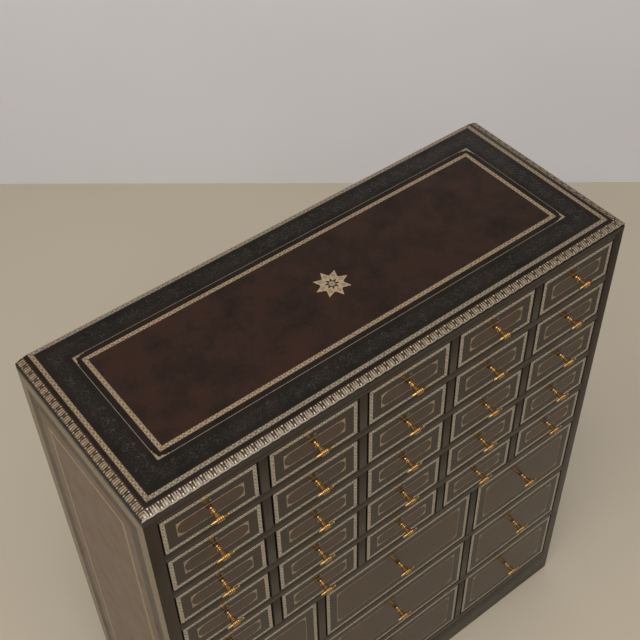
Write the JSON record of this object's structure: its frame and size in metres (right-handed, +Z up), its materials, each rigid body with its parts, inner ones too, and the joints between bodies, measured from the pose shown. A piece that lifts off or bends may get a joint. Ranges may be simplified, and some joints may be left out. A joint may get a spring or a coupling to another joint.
{
  "type": "apothecary chest",
  "caption": "Floor chest of drawers clad in dark tooled leather, with rows of small drawers over rows of larger ones and a cast hand pull on each.",
  "frame": {"origin": "on the floor, at the middle of the chest's width and of its depth with the pulls", "axes": "+Z up, +Y from the drawer fronts to the back, +X to the right seen from the front"},
  "size_m": [0.914, 0.3752, 1.0497],
  "materials": {
    "leather_case": "dark leather over board, polished, gilt tooled",
    "carcass_wood": "stained hardwood ply, front edges clad in dark leather",
    "back_board": "stained thin board",
    "drawer": "wooden box, front clad in dark gilt-tooled leather, pull in polished cast brass",
    "glide_nylon": "moulded black nylon"
  },
  "bodies": {
    "case": {"top_board": "leather_case", "top_rail": "leather_case", "left_side": "leather_case", "right_side": "leather_case", "back_panel": "back_board", "bottom_board": "carcass_wood", "mid_shelf": "carcass_wood", "lower_shelf_1": "carcass_wood", "lower_shelf_2": "carcass_wood", "shelf_1": "carcass_wood", "shelf_2": "carcass_wood", "shelf_3": "carcass_wood", "shelf_4": "carcass_wood", "partition_1": "carcass_wood", "partition_2": "carcass_wood", "partition_3": "carcass_wood", "partition_4": "carcass_wood", "lower_partition_1": "carcass_wood", "lower_partition_2": "carcass_wood", "plinth_front": "leather_case", "plinth_back": "carcass_wood", "corner_blocks": "carcass_wood", "glides": "glide_nylon", "drawer_stops": "carcass_wood"},
    "drawer_r1c1_body": {"drawer_r1c1": "drawer"},
    "drawer_r1c2_body": {"drawer_r1c2": "drawer"},
    "drawer_r1c3_body": {"drawer_r1c3": "drawer"},
    "drawer_r1c4_body": {"drawer_r1c4": "drawer"},
    "drawer_r1c5_body": {"drawer_r1c5": "drawer"},
    "drawer_r2c1_body": {"drawer_r2c1": "drawer"},
    "drawer_r2c2_body": {"drawer_r2c2": "drawer"},
    "drawer_r2c3_body": {"drawer_r2c3": "drawer"},
    "drawer_r2c4_body": {"drawer_r2c4": "drawer"},
    "drawer_r2c5_body": {"drawer_r2c5": "drawer"},
    "drawer_r3c1_body": {"drawer_r3c1": "drawer"},
    "drawer_r3c2_body": {"drawer_r3c2": "drawer"},
    "drawer_r3c3_body": {"drawer_r3c3": "drawer"},
    "drawer_r3c4_body": {"drawer_r3c4": "drawer"},
    "drawer_r3c5_body": {"drawer_r3c5": "drawer"},
    "drawer_r4c1_body": {"drawer_r4c1": "drawer"},
    "drawer_r4c2_body": {"drawer_r4c2": "drawer"},
    "drawer_r4c3_body": {"drawer_r4c3": "drawer"},
    "drawer_r4c4_body": {"drawer_r4c4": "drawer"},
    "drawer_r4c5_body": {"drawer_r4c5": "drawer"},
    "drawer_r5c1_body": {"drawer_r5c1": "drawer"},
    "drawer_r5c2_body": {"drawer_r5c2": "drawer"},
    "drawer_r5c3_body": {"drawer_r5c3": "drawer"},
    "drawer_r5c4_body": {"drawer_r5c4": "drawer"},
    "drawer_r5c5_body": {"drawer_r5c5": "drawer"},
    "large_drawer_r1c1_body": {"large_drawer_r1c1": "drawer"},
    "large_drawer_r1c2_body": {"large_drawer_r1c2": "drawer"},
    "large_drawer_r1c3_body": {"large_drawer_r1c3": "drawer"},
    "large_drawer_r2c1_body": {"large_drawer_r2c1": "drawer"},
    "large_drawer_r2c2_body": {"large_drawer_r2c2": "drawer"},
    "large_drawer_r2c3_body": {"large_drawer_r2c3": "drawer"},
    "large_drawer_r3c1_body": {"large_drawer_r3c1": "drawer"},
    "large_drawer_r3c2_body": {"large_drawer_r3c2": "drawer"},
    "large_drawer_r3c3_body": {"large_drawer_r3c3": "drawer"}
  },
  "joints": [
    {"name": "drawer_r1c1_slide", "type": "slide", "parent": "case", "child": "drawer_r1c1_body", "axis": [0, -1, 0], "range_m": [0, 0.25]},
    {"name": "drawer_r1c2_slide", "type": "slide", "parent": "case", "child": "drawer_r1c2_body", "axis": [0, -1, 0], "range_m": [0, 0.25]},
    {"name": "drawer_r1c3_slide", "type": "slide", "parent": "case", "child": "drawer_r1c3_body", "axis": [0, -1, 0], "range_m": [0, 0.25]},
    {"name": "drawer_r1c4_slide", "type": "slide", "parent": "case", "child": "drawer_r1c4_body", "axis": [0, -1, 0], "range_m": [0, 0.25]},
    {"name": "drawer_r1c5_slide", "type": "slide", "parent": "case", "child": "drawer_r1c5_body", "axis": [0, -1, 0], "range_m": [0, 0.25]},
    {"name": "drawer_r2c1_slide", "type": "slide", "parent": "case", "child": "drawer_r2c1_body", "axis": [0, -1, 0], "range_m": [0, 0.25]},
    {"name": "drawer_r2c2_slide", "type": "slide", "parent": "case", "child": "drawer_r2c2_body", "axis": [0, -1, 0], "range_m": [0, 0.25]},
    {"name": "drawer_r2c3_slide", "type": "slide", "parent": "case", "child": "drawer_r2c3_body", "axis": [0, -1, 0], "range_m": [0, 0.25]},
    {"name": "drawer_r2c4_slide", "type": "slide", "parent": "case", "child": "drawer_r2c4_body", "axis": [0, -1, 0], "range_m": [0, 0.25]},
    {"name": "drawer_r2c5_slide", "type": "slide", "parent": "case", "child": "drawer_r2c5_body", "axis": [0, -1, 0], "range_m": [0, 0.25]},
    {"name": "drawer_r3c1_slide", "type": "slide", "parent": "case", "child": "drawer_r3c1_body", "axis": [0, -1, 0], "range_m": [0, 0.25]},
    {"name": "drawer_r3c2_slide", "type": "slide", "parent": "case", "child": "drawer_r3c2_body", "axis": [0, -1, 0], "range_m": [0, 0.25]},
    {"name": "drawer_r3c3_slide", "type": "slide", "parent": "case", "child": "drawer_r3c3_body", "axis": [0, -1, 0], "range_m": [0, 0.25]},
    {"name": "drawer_r3c4_slide", "type": "slide", "parent": "case", "child": "drawer_r3c4_body", "axis": [0, -1, 0], "range_m": [0, 0.25]},
    {"name": "drawer_r3c5_slide", "type": "slide", "parent": "case", "child": "drawer_r3c5_body", "axis": [0, -1, 0], "range_m": [0, 0.25]},
    {"name": "drawer_r4c1_slide", "type": "slide", "parent": "case", "child": "drawer_r4c1_body", "axis": [0, -1, 0], "range_m": [0, 0.25]},
    {"name": "drawer_r4c2_slide", "type": "slide", "parent": "case", "child": "drawer_r4c2_body", "axis": [0, -1, 0], "range_m": [0, 0.25]},
    {"name": "drawer_r4c3_slide", "type": "slide", "parent": "case", "child": "drawer_r4c3_body", "axis": [0, -1, 0], "range_m": [0, 0.25]},
    {"name": "drawer_r4c4_slide", "type": "slide", "parent": "case", "child": "drawer_r4c4_body", "axis": [0, -1, 0], "range_m": [0, 0.25]},
    {"name": "drawer_r4c5_slide", "type": "slide", "parent": "case", "child": "drawer_r4c5_body", "axis": [0, -1, 0], "range_m": [0, 0.25]},
    {"name": "drawer_r5c1_slide", "type": "slide", "parent": "case", "child": "drawer_r5c1_body", "axis": [0, -1, 0], "range_m": [0, 0.25]},
    {"name": "drawer_r5c2_slide", "type": "slide", "parent": "case", "child": "drawer_r5c2_body", "axis": [0, -1, 0], "range_m": [0, 0.25]},
    {"name": "drawer_r5c3_slide", "type": "slide", "parent": "case", "child": "drawer_r5c3_body", "axis": [0, -1, 0], "range_m": [0, 0.25]},
    {"name": "drawer_r5c4_slide", "type": "slide", "parent": "case", "child": "drawer_r5c4_body", "axis": [0, -1, 0], "range_m": [0, 0.25]},
    {"name": "drawer_r5c5_slide", "type": "slide", "parent": "case", "child": "drawer_r5c5_body", "axis": [0, -1, 0], "range_m": [0, 0.25]},
    {"name": "large_drawer_r1c1_slide", "type": "slide", "parent": "case", "child": "large_drawer_r1c1_body", "axis": [0, -1, 0], "range_m": [0, 0.25]},
    {"name": "large_drawer_r1c2_slide", "type": "slide", "parent": "case", "child": "large_drawer_r1c2_body", "axis": [0, -1, 0], "range_m": [0, 0.25]},
    {"name": "large_drawer_r1c3_slide", "type": "slide", "parent": "case", "child": "large_drawer_r1c3_body", "axis": [0, -1, 0], "range_m": [0, 0.25]},
    {"name": "large_drawer_r2c1_slide", "type": "slide", "parent": "case", "child": "large_drawer_r2c1_body", "axis": [0, -1, 0], "range_m": [0, 0.25]},
    {"name": "large_drawer_r2c2_slide", "type": "slide", "parent": "case", "child": "large_drawer_r2c2_body", "axis": [0, -1, 0], "range_m": [0, 0.25]},
    {"name": "large_drawer_r2c3_slide", "type": "slide", "parent": "case", "child": "large_drawer_r2c3_body", "axis": [0, -1, 0], "range_m": [0, 0.25]},
    {"name": "large_drawer_r3c1_slide", "type": "slide", "parent": "case", "child": "large_drawer_r3c1_body", "axis": [0, -1, 0], "range_m": [0, 0.25]},
    {"name": "large_drawer_r3c2_slide", "type": "slide", "parent": "case", "child": "large_drawer_r3c2_body", "axis": [0, -1, 0], "range_m": [0, 0.25]},
    {"name": "large_drawer_r3c3_slide", "type": "slide", "parent": "case", "child": "large_drawer_r3c3_body", "axis": [0, -1, 0], "range_m": [0, 0.25]}
  ]
}
